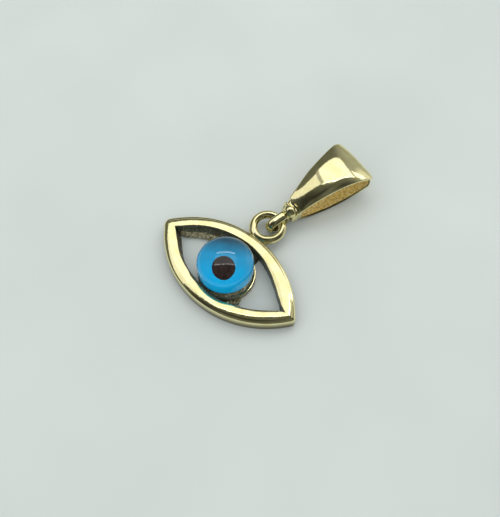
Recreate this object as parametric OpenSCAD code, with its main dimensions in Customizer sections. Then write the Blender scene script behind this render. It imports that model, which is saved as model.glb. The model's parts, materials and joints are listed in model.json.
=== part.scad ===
// Evil eye pendant lying flat: an almond gold frame with a glass eye in a
// bezel cup, a soldered ring, and a tapered bail hooked through the ring.
// The back of the frame lies on z = 0, the eye's long axis runs along X
// and the bail points to +Y.

/* [Eye frame] */
// Length of the almond frame from tip to tip
eye_length = 15.2; // [14:0.1:18]
// Width of the frame across its middle
eye_width = 8.1; // [7.8:0.1:9.2]
// Width of the gold band at the middle of each arm
band_width = 1.05; // [0.85:0.05:1.3]
// Width of the gold at each tip, from the corner of the opening outwards
tip_width = 1.1; // [0.9:0.05:1.5]
// Height of the frame from its back to its polished top
eye_height = 1.34; // [1.2:0.02:1.8]
// Radius of the rounded outer shoulder of the band
shoulder_radius = 0.42; // [0.2:0.02:0.6]
// Radius of the slight dome across the top of the band
band_dome_radius = 2.6; // [2:0.1:6]
// Radius that blunts the two tips
tip_radius = 0.35; // [0.15:0.05:0.5]

/* [Bezel cup] */
// How far the cup's rim stands out round the glass
rim_show = 0.17; // [0.1:0.01:0.3]
// Height of the cup's rim
cup_height = 0.74; // [0.6:0.02:0.8]
// Thickness of the cup's wall
cup_wall = 0.16; // [0.12:0.01:0.2]
// Thickness of the cup's closed back
cup_floor = 0.3; // [0.2:0.02:0.4]
// How far the cup sits left of the frame's centre
cup_left = 0.08; // [0:0.02:0.2]
// How far the cup sits below the frame's centre
cup_down = 0.2; // [0:0.02:0.24]
// Width of the two solder seams between the cup and the arms
seam_width = 2.4; // [1.6:0.1:3]
// Height of the solder seams
seam_height = 0.5; // [0.3:0.05:0.7]

/* [Glass eye] */
// Diameter of the blue glass at its girth
glass_diameter = 5; // [4.8:0.05:5.3]
// Height of the glass from its flat foot to the top of its dome
glass_height = 3.4; // [3:0.05:3.8]
// Height of the glass's widest line above its foot
girth_rise = 1.35; // [1.1:0.05:1.5]
// Radius of the rounding of the glass's sides, seen from the side
side_radius = 1.7; // [1.5:0.05:1.75]
// Tilt of the glass as it was glued
glass_tilt = 10; // [0:0.5:12]
// Direction of the glass's raised side, measured from +X
glass_tilt_direction = 135; // [90:1:180]
// How far the foot of the glass sits left of the cup's centre
glass_left = 0.11; // [0:0.01:0.2]
// How far the foot of the glass sits above the cup's centre
glass_up = 0.17; // [0:0.01:0.2]
// Diameter of the black pupil
pupil_diameter = 2; // [1.8:0.02:2.5]
// How far the pupil stands proud of the dome
pupil_rise = 0.12; // [0.05:0.01:0.2]
// Depth of the pupil's seat in the glass
pupil_depth = 0.3; // [0.2:0.02:0.5]
// How far the pupil sits from the top of the dome
pupil_shift = 0.78; // [0:0.02:0.8]
// Direction of that shift, measured from +X
pupil_shift_direction = -62; // [-90:2:0]

/* [Top ring] */
// Diameter of the hole in the ring that is soldered to the frame
ring_hole = 2.12; // [2:0.02:2.6]
// Diameter of the ring's wire
ring_wire = 0.6; // [0.5:0.02:0.7]
// Height of the ring's centre above the back of the frame
ring_height = 0.94; // [0.92:0.02:1.1]
// How far the ring is sunk into the frame's outer wall
ring_sink = 0.12; // [0.1:0.02:0.3]

/* [Bail] */
// Width of the bail at its folded end
bail_width = 4.92; // [4.4:0.02:5.4]
// Width of the bail at its neck
neck_width = 1.88; // [1.5:0.02:2.1]
// Length of the strap from its neck to its folded end
strap_length = 7.58; // [7:0.02:8.6]
// Thickness of the strap
strap_wall = 0.28; // [0.22:0.01:0.4]
// Radius of the domed front of the bail along its length
front_radius = 6.3; // [6:0.1:9]
// Radius of the domed front of the bail across its width
cross_radius = 12; // [10:0.5:20]
// Radius of the curved back of the bail
back_radius = 8.6; // [8:0.1:12]
// Height of the bail at its neck
neck_height = 1.74; // [1.5:0.02:1.9]
// Radius of the fold at the wide end
fold_radius = 0.95; // [0.8:0.05:1.2]
// How much higher the fold lies than the middle of the neck
fold_rise = 0.8; // [0.3:0.05:0.9]
// Radius of the bail's corners at its folded end
corner_radius = 0.4; // [0.2:0.05:0.8]
// Angle that the bail has swivelled to the right
bail_turn = 11.2; // [0:0.1:15]
// Angle that the bail leans to its right side as it lies
bail_roll = 4.5; // [0:0.5:7]
// How far the bail sits right of the ring's centre
bail_shift = 0.18; // [0:0.01:0.3]

/* [Bail loop] */
// Thickness of the loop's wire, seen from the side
loop_wire = 0.42; // [0.36:0.02:0.5]
// Width of the loop's wire, seen from the front
loop_width = 0.88; // [0.6:0.02:1]
// Gap between the loop's lower side and the ring
loop_gap_below = 0.1; // [0.08:0.01:0.16]
// Gap between the loop's upper side and the ring
loop_gap_above = 0.2; // [0.1:0.02:0.4]
// Gap between the loop's near end and the ring's wire
loop_gap_near = 0.95; // [0.4:0.05:1.2]
// Gap between the ring's wire and the knob
loop_gap_far = 0.2; // [0.15:0.01:0.3]
// Diameter of the knob between the loop and the neck
knob_diameter = 1.06; // [0.9:0.02:1.2]
// How far the knob's centre lies in front of the neck's end
knob_back = 0.3; // [0.1:0.02:0.4]
// How much higher the knob's centre lies than the middle of the neck
knob_rise = 0.5; // [0.3:0.02:0.6]
// Width of the collar between the loop and the neck
collar_width = 1.46; // [1.2:0.02:1.7]
// Height of the collar
collar_height = 1.1; // [1:0.02:1.3]
// How much lower the collar's middle lies than the middle of the neck
collar_drop = 0.2; // [0:0.02:0.25]
// Length of the collar from its front to the neck
collar_length = 0.62; // [0.5:0.02:0.7]
// Radius of the collar's four long edges
collar_radius = 0.2; // [0.1:0.02:0.3]
// How far the loop's outer end reaches into the collar
loop_root = 0.24; // [0.1:0.02:0.3]
// Length of the plain block that closes the neck
neck_block = 0.36; // [0.3:0.02:0.6]

/* [Hidden] */
$fn = 96;

// Clearance between the glass and its cup, and round the pupil in its seat
seat_gap = 0.03;
// A cutter reaches this far past what it cuts
over = 1;
// The band's top is highest at this share of its width, counted from outside
band_crest = 0.6;

// Almond outlines: each arm is an arc whose centre lies on the Y axis
half_length = eye_length / 2;
half_width = eye_width / 2;
opening_length = half_length - tip_width;
opening_width = half_width - band_width;
function arc_radius(l, w) = (l * l + w * w) / (2 * w);
tip_center = half_length - tip_radius;
outer_arc = (tip_center * tip_center + half_width * half_width - tip_radius * tip_radius)
    / (2 * (half_width - tip_radius));
outer_drop = outer_arc - half_width;
opening_arc = arc_radius(opening_length, opening_width);
opening_drop = opening_arc - opening_width;

cup_diameter = glass_diameter + 2 * rim_show;

// Ring and the line along which the bail lies
ring_radius = (ring_hole + ring_wire) / 2;
ring_y = half_width + ring_radius + ring_wire / 2 - ring_sink;

// Loop, measured along the bail from the ring's centre
loop_near = ring_radius - ring_wire / 2 - loop_gap_near - loop_wire;
loop_far = ring_radius + ring_wire / 2 + loop_gap_far + loop_wire;
loop_bottom = ring_height - ring_wire / 2 - loop_gap_below - loop_wire;
loop_top = ring_height + ring_wire / 2 + loop_gap_above + loop_wire;
loop_z = (loop_bottom + loop_top) / 2;
loop_bend = (loop_top - loop_bottom - loop_wire) / 2;
collar_y = loop_far - loop_root;
neck_y = collar_y + collar_length + neck_block;
knob_y = neck_y - neck_block - knob_back;
tip_y = neck_y + strap_length;

// Side profile of the strap before it is set down on the surface: the neck's
// middle is at height 0 and both long arcs run smoothly into the fold
fold_center = [tip_y - fold_radius, fold_rise];
neck_top = [neck_y, neck_height / 2];
neck_bottom = [neck_y, -neck_height / 2];

// Centre of a circle that lies at distances rp and rq from points p and q
function meet(p, rp, q, rq, side) =
    let (d = norm(q - p))
    let (along = (d * d + rp * rp - rq * rq) / (2 * d))
    let (across = sqrt(rp * rp - along * along))
    let (dir = (q - p) / d)
    p + along * dir + side * across * [-dir[1], dir[0]];

front_center = meet(neck_top, front_radius, fold_center, front_radius - fold_radius, -1);
back_center = meet(neck_bottom, back_radius, fold_center, back_radius - fold_radius, 1);
// Half the strap's width at a place y along the bail, and how fast it grows
half_spread = (bail_width - neck_width) / 2 / strap_length;
function half_strap(y) = neck_width / 2 + half_spread * (y - neck_y);
// Height of the neck's middle over the loop's, so that the back of the
// leaning strap touches the surface with its lowest point
strap_z = -loop_z / cos(bail_roll) - back_center[1] + half_strap(back_center[0]) * tan(bail_roll)
    + back_radius * sqrt(1 + pow(half_spread * tan(bail_roll), 2));

module almond(arc, drop) {
    intersection() {
        translate([0, -drop]) circle(r = arc);
        translate([0, drop]) circle(r = arc);
    }
}

// Section of an arm, from the outer wall inwards: square wall, rounded
// shoulder and a slightly domed top
module arm_section() {
    reach = band_width * 2;
    intersection() {
        difference() {
            translate([outer_arc - reach, 0]) square([reach, eye_height]);
            difference() {
                translate([outer_arc - shoulder_radius, eye_height - shoulder_radius])
                    square(shoulder_radius + over);
                translate([outer_arc - shoulder_radius, eye_height - shoulder_radius])
                    circle(r = shoulder_radius);
            }
        }
        translate([outer_arc - band_width * band_crest, eye_height - band_dome_radius])
            circle(r = band_dome_radius);
    }
}

// One arm, turned about the centre of its arc and cut off at the line
// through both tips, where it is mitred to the other arm
module arm() {
    intersection() {
        translate([0, -outer_drop, 0]) rotate_extrude($fn = 180) arm_section();
        translate([-eye_length, 0, -over]) cube([2 * eye_length, eye_width, eye_height + 2 * over]);
    }
}

// The outer almond with its two tips rounded off
module blunt_almond() {
    tangent_x = tip_center * outer_arc / (outer_arc - tip_radius);
    intersection() {
        almond(outer_arc, outer_drop);
        square([2 * tangent_x, eye_width], center = true);
    }
    for (side = [-1, 1])
        translate([side * tip_center, 0]) circle(r = tip_radius);
}

module almond_band() {
    difference() {
        intersection() {
            union() {
                arm();
                mirror([0, 1, 0]) arm();
            }
            translate([0, 0, -over]) linear_extrude(eye_height + 2 * over) blunt_almond();
        }
        translate([0, 0, -over])
            linear_extrude(eye_height + 2 * over) almond(opening_arc, opening_drop);
    }
}

module bezel_cup() {
    translate([-cup_left, -cup_down, 0]) difference() {
        cylinder(d = cup_diameter, h = cup_height);
        translate([0, 0, cup_floor])
            cylinder(d = cup_diameter - 2 * cup_wall, h = cup_height);
    }
}

// Solder that joins the cup to both arms
module solder_seams() {
    reach = opening_width + band_width / 2;
    difference() {
        translate([-cup_left - seam_width / 2, -reach, 0])
            cube([seam_width, 2 * reach, seam_height]);
        translate([-cup_left, -cup_down, -over])
            cylinder(d = cup_diameter - cup_wall, h = seam_height + 2 * over);
    }
}

module top_ring() {
    translate([0, ring_y, ring_height])
        rotate_extrude() translate([ring_radius, 0]) circle(d = ring_wire, $fn = 48);
}

module eye_frame() {
    color("gold") union() {
        almond_band();
        bezel_cup();
        solder_seams();
        top_ring();
    }
}

// Glass: a round side that runs smoothly into a flatter dome
side_x = glass_diameter / 2 - side_radius;
foot_radius = side_x + sqrt(side_radius * side_radius - girth_rise * girth_rise);
dome_height = glass_height - girth_rise;
dome_radius = (side_x * side_x + dome_height * dome_height - side_radius * side_radius)
    / (2 * (dome_height - side_radius));
// The leaning glass stands on the low edge of its foot
foot_z = cup_floor + seat_gap + foot_radius * sin(glass_tilt);

// Places the glass, whose foot is centred on the origin, as it was glued
module glued() {
    translate([-cup_left - glass_left, -cup_down + glass_up, foot_z])
        rotate([0, 0, glass_tilt_direction]) rotate([0, -glass_tilt, 0])
            rotate([0, 0, -glass_tilt_direction]) children();
}

// Half section of the glass
module glass_section() {
    dome_x = side_x * dome_radius / (dome_radius - side_radius);
    intersection() {
        translate([side_x, girth_rise]) circle(r = side_radius);
        square([glass_diameter, glass_height]);
    }
    square([side_x, girth_rise + side_radius]);
    intersection() {
        translate([0, glass_height - dome_radius]) circle(r = dome_radius);
        translate([0, girth_rise]) square([dome_x, dome_height + over]);
    }
}

// The pupil's solid, wider and deeper by gap when it cuts its own seat
module pupil_form(gap) {
    rise = pupil_rise + pupil_depth;
    ball = (pow(pupil_diameter / 2, 2) + pow(pupil_rise * 2, 2)) / (4 * pupil_rise);
    shift_angle = asin(pupil_shift / dome_radius);
    glued() translate([0, 0, glass_height - dome_radius])
        rotate([0, 0, pupil_shift_direction]) rotate([0, shift_angle, 0])
            translate([0, 0, dome_radius - pupil_depth - gap]) intersection() {
                cylinder(r = pupil_diameter / 2 + gap, h = rise + gap, $fn = 64);
                translate([0, 0, rise + gap - ball]) sphere(r = ball + gap, $fn = 96);
            }
}

module glass_eye() {
    color("deepskyblue") difference() {
        glued() rotate_extrude() glass_section();
        pupil_form(seat_gap);
    }
}

module pupil() {
    color("black") pupil_form(0);
}

// Side profile of the strap under its domed front, shrunk by inset
module back_profile(inset) {
    tangent = back_center + (fold_center - back_center) * back_radius / (back_radius - fold_radius);
    intersection() {
        translate([neck_y - neck_block, -back_radius]) square([strap_length + neck_block, 2 * back_radius]);
        translate(back_center) circle(r = back_radius - inset, $fn = 180);
        union() {
            translate([neck_y - neck_block - over, -back_radius])
                square([tangent[0] - neck_y + neck_block + over, 2 * back_radius]);
            translate(fold_center) circle(r = fold_radius - inset);
        }
    }
}

// Half section of the barrel whose outside is the bail's front
module front_section(inset) {
    intersection() {
        translate([front_radius - cross_radius, 0]) circle(r = cross_radius - inset, $fn = 360);
        translate([0, -bail_width]) square([front_radius + over, 2 * bail_width]);
    }
}

// Body of the bail with its domed front, shrunk by inset
module strap_body(inset) {
    intersection() {
        rotate([90, 0, 90]) linear_extrude(bail_width + over, center = true) back_profile(inset);
        translate([0, front_center[0], front_center[1]]) rotate([0, 90, 0])
            rotate_extrude($fn = 180) front_section(inset);
    }
}

// Outline of the bail seen from the front: a taper with two round corners
module strap_outline() {
    half_top = bail_width / 2;
    half_neck = neck_width / 2;
    lean = atan(half_spread);
    corner_y = tip_y - corner_radius;
    corner_x = half_top - corner_radius * (1 / cos(lean) + tan(lean));
    polygon([
        [-half_neck, neck_y - neck_block], [half_neck, neck_y - neck_block],
        [half_neck, neck_y],
        [corner_x + corner_radius * cos(lean), corner_y - corner_radius * sin(lean)],
        [corner_x, corner_y],
        [corner_x, tip_y], [-corner_x, tip_y],
        [-corner_x, corner_y],
        [-corner_x - corner_radius * cos(lean), corner_y - corner_radius * sin(lean)],
        [-half_neck, neck_y],
    ]);
    for (side = [-1, 1])
        translate([side * corner_x, corner_y]) circle(r = corner_radius);
}

module strap() {
    intersection() {
        difference() {
            strap_body(0);
            intersection() {
                strap_body(strap_wall);
                translate([-bail_width, neck_y, -back_radius])
                    cube([2 * bail_width, strap_length, 2 * back_radius]);
            }
        }
        translate([0, 0, -back_radius]) linear_extrude(2 * back_radius) strap_outline();
    }
}

// Section of the loop's wire: flat sides with round edges
module loop_section() {
    offset_x = (loop_width - loop_wire) / 2;
    for (side = [-1, 1])
        translate([0, side * offset_x]) circle(d = loop_wire, $fn = 48);
    square([loop_wire, 2 * offset_x], center = true);
}

// Long oval loop: two half rings joined by two straight bars
module loop() {
    bar = loop_far - loop_near - 2 * loop_bend - loop_wire;
    near_y = loop_near + loop_wire / 2 + loop_bend;
    translate([0, near_y, 0]) {
        rotate([0, 90, 0]) rotate([0, 0, 180]) rotate_extrude(angle = 180) translate([loop_bend, 0])
            loop_section();
        translate([0, bar, 0]) rotate([0, 90, 0]) rotate_extrude(angle = 180)
            translate([loop_bend, 0]) loop_section();
        for (side = [-1, 1])
            translate([0, 0, side * loop_bend]) rotate([-90, 0, 0])
                linear_extrude(bar) rotate(90) loop_section();
    }
}

// Block with rounded edges that ties the loop to the neck
module collar() {
    half_flat = collar_width / 2 - collar_radius;
    half_side = collar_height / 2 - collar_radius;
    rotate([-90, 0, 0]) linear_extrude(collar_length + collar_radius) {
        square([collar_width, 2 * half_side], center = true);
        square([2 * half_flat, collar_height], center = true);
        for (x = [-half_flat, half_flat], y = [-half_side, half_side])
            translate([x, y]) circle(r = collar_radius, $fn = 48);
    }
}

module bail() {
    color("gold") translate([bail_shift, ring_y, loop_z]) rotate([0, 0, -bail_turn])
        rotate([0, bail_roll, 0]) {
            translate([0, 0, strap_z]) strap();
            translate([0, collar_y, strap_z - collar_drop]) collar();
            translate([0, knob_y, strap_z + knob_rise]) sphere(d = knob_diameter);
            loop();
        }
}

eye_frame();
glass_eye();
pupil();
bail();
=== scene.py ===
import json
import math

import bmesh
import bpy
from mathutils import Matrix, Vector, noise

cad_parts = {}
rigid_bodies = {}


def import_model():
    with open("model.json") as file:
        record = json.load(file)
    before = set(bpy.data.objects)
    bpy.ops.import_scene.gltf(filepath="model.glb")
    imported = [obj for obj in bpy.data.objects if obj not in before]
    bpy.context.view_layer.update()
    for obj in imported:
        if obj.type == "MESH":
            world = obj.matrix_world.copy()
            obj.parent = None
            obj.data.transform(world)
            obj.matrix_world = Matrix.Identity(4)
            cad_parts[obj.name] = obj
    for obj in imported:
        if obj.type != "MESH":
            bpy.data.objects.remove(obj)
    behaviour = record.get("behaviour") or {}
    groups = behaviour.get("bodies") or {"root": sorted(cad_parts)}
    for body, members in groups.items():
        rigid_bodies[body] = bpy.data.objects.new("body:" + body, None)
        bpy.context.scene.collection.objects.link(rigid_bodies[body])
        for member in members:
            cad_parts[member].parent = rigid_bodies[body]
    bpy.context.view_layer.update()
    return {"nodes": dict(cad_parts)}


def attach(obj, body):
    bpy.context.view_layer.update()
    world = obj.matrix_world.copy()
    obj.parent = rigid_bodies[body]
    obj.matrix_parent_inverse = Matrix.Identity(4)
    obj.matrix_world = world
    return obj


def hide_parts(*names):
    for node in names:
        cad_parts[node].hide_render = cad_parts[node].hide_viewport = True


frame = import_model()
print("frame loaded:", sorted(frame["nodes"]))

mm = 0.001  # sizes of the pendant are in mm, and points are scaled once, when a mesh is made
weld = 0.0004  # points nearer than this are joined


def ramp(a, b, count):
    return [a + (b - a) * k / (count - 1) for k in range(count)]


def mix(a, b, t):
    return a + (b - a) * t


def ease(t):  # 0 to 1 with soft ends
    t = min(1.0, max(0.0, t))
    return t * t * (3 - 2 * t)


def bell(x, middle, width):  # 1 at the middle, fading out over the width
    return math.exp(-((x - middle) / width) ** 2)


def grain(p, size, seed):  # even noise from -1 to 1, with lumps of about that size in mm
    return noise.noise(Vector((p[0] / size + seed, p[1] / size - seed, p[2] / size + 2 * seed)))


def lumps(p, coarse, fine, share):
    # coarse and fine noise, each with its size and seed, and the share of the fine one
    return grain(p, *coarse) + share * grain(p, *fine)


def gridFaces(rows, cols, wrapRows=False, wrapCols=False, start=0):
    faces = []
    for i in range(rows if wrapRows else rows - 1):
        for j in range(cols if wrapCols else cols - 1):
            nextRow, nextCol = (i + 1) % rows, (j + 1) % cols
            corners = (i * cols + j, i * cols + nextCol, nextRow * cols + nextCol, nextRow * cols + j)
            faces.append(tuple(start + k for k in corners))
    return faces


def lookUp(table, x):
    # value at x of a table of (x, value) pairs, on straight lines between them
    for (x0, v0), (x1, v1) in zip(table, table[1:]):
        if x <= x1:
            return mix(v0, v1, min(1.0, max(0.0, (x - x0) / (x1 - x0))))
    return table[-1][1]


def newObject(name, data):
    thing = bpy.data.objects.new(name, data)
    bpy.context.scene.collection.objects.link(thing)
    return thing


def newPiece(name, points, faces, material, node, place=None, sharp=40.0, more=(), marks=None):
    # a piece of the pendant from points in mm: welded, normals outwards, smooth apart from its creases;
    # marks gives the material of each face, counted through material and more
    if place is not None:
        points = [place @ Vector(p) for p in points]
    mesh = bpy.data.meshes.new(name)
    mesh.from_pydata([Vector(p) * mm for p in points], [], faces)
    for kind in (material, *more):
        mesh.materials.append(kind)
    if marks:
        mesh.polygons.foreach_set("material_index", marks)
    work = bmesh.new()
    work.from_mesh(mesh)
    bmesh.ops.remove_doubles(work, verts=work.verts, dist=weld * mm)
    bmesh.ops.dissolve_degenerate(work, edges=work.edges, dist=weld / 2 * mm)
    bmesh.ops.recalc_face_normals(work, faces=work.faces)
    work.to_mesh(mesh)
    work.free()
    mesh.shade_smooth()
    mesh.set_sharp_from_angle(angle=math.radians(sharp))
    piece = newObject(name, mesh)
    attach(piece, "root")
    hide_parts(node)
    return piece


def fullTurn(count):  # angles once round, in radians
    return [2 * math.pi * k / count for k in range(count)]


def lathe(profile, turns, wobble=None):
    # points and faces of a profile of (radius, height) turned round Z
    points = []
    for radius, height in profile:
        for a in fullTurn(turns):
            dr, dz = wobble(a, radius, height) if wobble else (0.0, 0.0)
            points.append(((radius + dr) * math.cos(a), (radius + dr) * math.sin(a), height + dz))
    return points, gridFaces(len(profile), turns, wrapCols=True)


def onCircle(degrees):  # the point at that angle, one unit out
    a = math.radians(degrees)
    return math.cos(a), math.sin(a)


def arcPoints(center, radius, start, end, count):
    x, y = center
    return [(x + radius * c, y + radius * s) for c, s in map(onCircle, ramp(start, end, count))]


def toward(center, point):  # direction from one to the other, in degrees
    return math.degrees(math.atan2(point[1] - center[1], point[0] - center[0]))


def capEnds(points, faces, around):
    # closes the first and the last loop of a tube with a fan round its middle
    for start in (0, len(points) - around):
        middle = sum((Vector(p) for p in points[start:start + around]), Vector()) / around
        tip = len(points)
        points.append(tuple(middle))
        for k in range(around):
            a, b = start + k, start + (k + 1) % around
            faces.append((tip, a, b) if start else (tip, b, a))


# materials

def newMaterial(name):
    material = bpy.data.materials.new(name)
    material.use_nodes = True
    return material, material.node_tree, material.node_tree.nodes["Principled BSDF"]


def feed(node, values):
    # gives inputs of a node plain values or the outputs of other nodes
    for name, value in values.items():
        if isinstance(value, bpy.types.NodeSocket):
            node.id_data.links.new(value, node.inputs[name])
        else:
            node.inputs[name].default_value = value


def onPiece(tree):
    return tree.nodes.new("ShaderNodeTexCoord").outputs["Object"]


def textured(tree, scale, detail=3.0, stretch=None, seed=0.0):
    # noise in the piece's own coordinates, with about scale lumps per mm
    spread = tree.nodes.new("ShaderNodeMapping")
    feed(spread, {"Vector": onPiece(tree), "Location": (seed, seed * 0.7, seed * 1.3),
                  "Scale": stretch or (1.0, 1.0, 1.0)})
    cloud = tree.nodes.new("ShaderNodeTexNoise")
    feed(cloud, {"Vector": spread.outputs["Vector"], "Scale": scale / mm, "Detail": detail,
                 "Roughness": 0.6})
    return cloud.outputs["Fac"]


def fromTo(tree, value, given, wanted=(0.0, 1.0), soft=False):
    # maps a value from one range to another and stops at its ends
    spread = tree.nodes.new("ShaderNodeMapRange")
    if soft:
        spread.interpolation_type = "SMOOTHSTEP"
    feed(spread, {"Value": value, "From Min": given[0], "From Max": given[1],
                  "To Min": wanted[0], "To Max": wanted[1]})
    return spread.outputs["Result"]


def blend(tree, share, a, b):
    # mixes two colours, each a value or the output of another node
    tint = tree.nodes.new("ShaderNodeMix")
    tint.data_type = "RGBA"
    feed(tint, {"Factor": share, "A": a, "B": b})
    return tint.outputs["Result"]


def wayAlong(tree, place, direction):
    # how far a place lies in that direction
    share = tree.nodes.new("ShaderNodeVectorMath")
    share.operation = "DOT_PRODUCT"
    feed(share, {0: place, 1: direction})
    return share.outputs["Value"]


def relief(tree, value, depth, before=None):
    # bump of that depth in mm, on top of an earlier one
    bump = tree.nodes.new("ShaderNodeBump")
    feed(bump, {"Strength": 1.0, "Distance": depth * mm, "Height": value})
    if before:
        feed(bump, {"Normal": before})
    return bump.outputs["Normal"]


polished = {
    "color": (0.91, 0.84, 0.49, 1),
    "toned": (0.82, 0.75, 0.38, 1),    # slightly darker, yellower patches,
    "toneScale": 0.9,                  # about this many per mm,
    "toneEdge": (0.38, 0.66),          # between these levels of the noise
    "gloss": (0.05, 0.13),             # roughness of a clean and of a worn patch
    "wearScale": 4.0,
    "wearEdge": (0.4, 0.7),
    "scratch": 0.0006,                 # depth of the polishing marks, mm
    "scratchScale": 2.5,
    "scratchStretch": (1.0, 9.0, 1.0),
    "ripple": 0.007,                   # depth of the slow unevenness that polishing leaves
    "footShade": (0.20, 0.17, 0.08, 1),     # painted shade: towards the foot the gold darkens to this
    "footShadeBelow": 1.1,                  # starting this many mm above the surface,
    "footShadeFull": 0.35,                   # and fully shaded at this height
}


def makeGold():
    material, tree, shader = newMaterial("polishedGold")
    p = polished
    patches = textured(tree, p["toneScale"], detail=2.0, seed=0.011)
    worn = textured(tree, p["wearScale"], detail=4.0, seed=0.023)
    marks = textured(tree, p["scratchScale"], stretch=p["scratchStretch"], seed=0.004)
    tone = fromTo(tree, patches, p["toneEdge"])
    color = blend(tree, tone, p["color"], p["toned"])
    # painted shade: the gold is coloured darker towards its foot, near the surface
    height = wayAlong(tree, onPiece(tree), (0, 0, 1))
    low = fromTo(tree, height, (p["footShadeBelow"] * mm, p["footShadeFull"] * mm))
    slow = relief(tree, patches, p["ripple"])
    feed(shader, {
        "Metallic": 1.0,
        "Base Color": blend(tree, low, color, p["footShade"]),
        "Roughness": fromTo(tree, worn, p["wearEdge"], p["gloss"]),
        "Normal": relief(tree, marks, p["scratch"], slow),
    })
    return material


shadedWall = {
    "color": (0.10, 0.115, 0.08, 1),
    "light": (0.36, 0.33, 0.20, 1),
    "rust": (0.16, 0.075, 0.03, 1),
    "fineScale": 7.0,      # light specks per mm
    "broadScale": 1.6,     # rusty patches per mm
    "fineEdge": (0.5, 0.72),
    "broadEdge": (0.56, 0.70),
    "rustShare": 0.8,
    "grain": 0.012,        # mm
    "inputs": {"Metallic": 0.6, "Roughness": 0.38},
}


def makeShadeAndSolderGold():
    # painted shade: the walls inside the frame and round the cup, coloured dark for the shade and dark
    # mirroring in them, with light specks and rusty patches; the dark solder seams take it too
    material, tree, shader = newMaterial("shadeAndSolderGold")
    u = shadedWall
    fine = textured(tree, u["fineScale"], detail=4.0, seed=0.031)
    broad = textured(tree, u["broadScale"], seed=0.007)
    light = fromTo(tree, fine, u["fineEdge"])
    rust = fromTo(tree, broad, u["broadEdge"], (0.0, u["rustShare"]))
    color = blend(tree, light, u["color"], u["light"])
    feed(shader, {
        **u["inputs"],
        "Base Color": blend(tree, rust, color, u["rust"]),
        "Normal": relief(tree, fine, u["grain"]),
    })
    return material


casting = {
    # colour, bright specks, dark specks and seed of each cast surface
    "castGold": ((0.92, 0.74, 0.30, 1), (1.0, 0.93, 0.60, 1), (0.58, 0.42, 0.14, 1), 0.013),
    "castTan": ((0.50, 0.44, 0.26, 1), (0.88, 0.84, 0.62, 1), (0.13, 0.10, 0.05, 1), 0.041),
    "cupGold": ((0.26, 0.23, 0.13, 1), (0.55, 0.50, 0.32, 1), (0.07, 0.06, 0.035, 1), 0.027),
    "grainScale": 6.0,     # grains per mm
    "speckScale": 4.5,
    "darkEdge": (0.40, 0.52),
    "lightEdge": (0.55, 0.64),
    "grain": 0.02,         # mm
    "inputs": {"Metallic": 0.55, "Roughness": 0.46},
}


def makeCastGold(name):
    # gold as it came from the mould: a sandy skin with bright and dark specks
    material, tree, shader = newMaterial(name)
    c = casting
    main, light, dark, seed = c[name]
    fine = textured(tree, c["grainScale"], detail=5.0, seed=seed)
    specks = textured(tree, c["speckScale"], seed=seed + 0.02)
    color = blend(tree, fromTo(tree, fine, c["darkEdge"]), dark, main)
    feed(shader, {
        **c["inputs"],
        "Base Color": blend(tree, fromTo(tree, specks, c["lightEdge"]), color, light),
        "Normal": relief(tree, fine, c["grain"]),
    })
    return material


glass = {
    "dark": (0.03, 0.09, 0.14, 1),       # painted shade at the far side, where the light enters
    "middle": (0.025, 0.315, 0.58, 1),
    "bright": (0.002, 0.50, 0.98, 1),    # painted light at the near side, where it gathers
    "lightFrom": (-0.50, 0.76, 0.42),
    "brightTo": (-1.1, 1.3),             # mm in that direction, from fully bright to the middle
    "darkFrom": (1.7, 3.1),              # and from the middle to fully dark
    "uneven": 0.5,                       # mm by which clouds in the glass move both
    "cloudScale": 0.8,
    "gloss": (0.03, 0.12),               # roughness of a clean and of a smeared patch
    "smearScale": 1.5,
    "smearEdge": (0.4, 0.75),
    "ripple": 0.003,
    "inputs": {
        "IOR": 1.5,
        "Specular IOR Level": 0.25,
        "Coat Weight": 0.4,                    # clear skin that mirrors at the rim
        "Coat Roughness": 0.02,
        "Subsurface Weight": 0.25,             # share of the light that goes through the surface,
        "Subsurface Radius": (0.2, 0.6, 1.0),  # how far red, green and blue then go, as shares
        "Subsurface Scale": 0.6 * mm,          # of this
    },
}


def makeBlueGlass():
    material, tree, shader = newMaterial("blueGlass")
    g = glass
    cloudy = textured(tree, g["cloudScale"], seed=0.05)
    uneven = tree.nodes.new("ShaderNodeMath")
    uneven.operation = "MULTIPLY_ADD"
    feed(uneven, {0: cloudy, 1: g["uneven"] * mm, 2: wayAlong(tree, onPiece(tree), g["lightFrom"])})
    # painted light and shade: the colour runs from bright at the near side to dark at the far side, along
    # lightFrom
    near = fromTo(tree, uneven.outputs[0], [x * mm for x in g["brightTo"]])
    far = fromTo(tree, uneven.outputs[0], [x * mm for x in g["darkFrom"]])
    color = blend(tree, near, g["bright"], g["middle"])
    smear = textured(tree, g["smearScale"], detail=4.0, seed=0.06)
    feed(shader, {
        "Base Color": blend(tree, far, color, g["dark"]),
        "Roughness": fromTo(tree, smear, g["smearEdge"], g["gloss"]),
        "Normal": relief(tree, cloudy, g["ripple"]),
        **g["inputs"],
    })
    return material


pupilFinish = {
    "color": (0.016, 0.011, 0.010, 1),
    "warm": (0.045, 0.028, 0.024, 1),
    "cloudScale": 2.5,
    "warmEdge": (0.35, 0.7),
    "glossEdge": (0.4, 0.7),
    "gloss": (0.04, 0.1),
    "ripple": 0.002,
    "inputs": {"IOR": 1.5},
}


def makeBlackGlass():
    material, tree, shader = newMaterial("blackGlass")
    p = pupilFinish
    cloudy = textured(tree, p["cloudScale"], detail=4.0, seed=0.08)
    share = fromTo(tree, cloudy, p["warmEdge"])
    feed(shader, {
        "Base Color": blend(tree, share, p["color"], p["warm"]),
        "Roughness": fromTo(tree, cloudy, p["glossEdge"], p["gloss"]),
        "Normal": relief(tree, cloudy, p["ripple"]),
        **p["inputs"],
    })
    return material


floorFinish = {
    "color": (0.66, 0.70, 0.68, 1),
    "shade": (0.62, 0.66, 0.64, 1),
    "shadeScale": 0.05,
    "shadeEdge": (0.35, 0.65),
    "inputs": {"Roughness": 0.7, "Specular IOR Level": 0.2},
}


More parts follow.
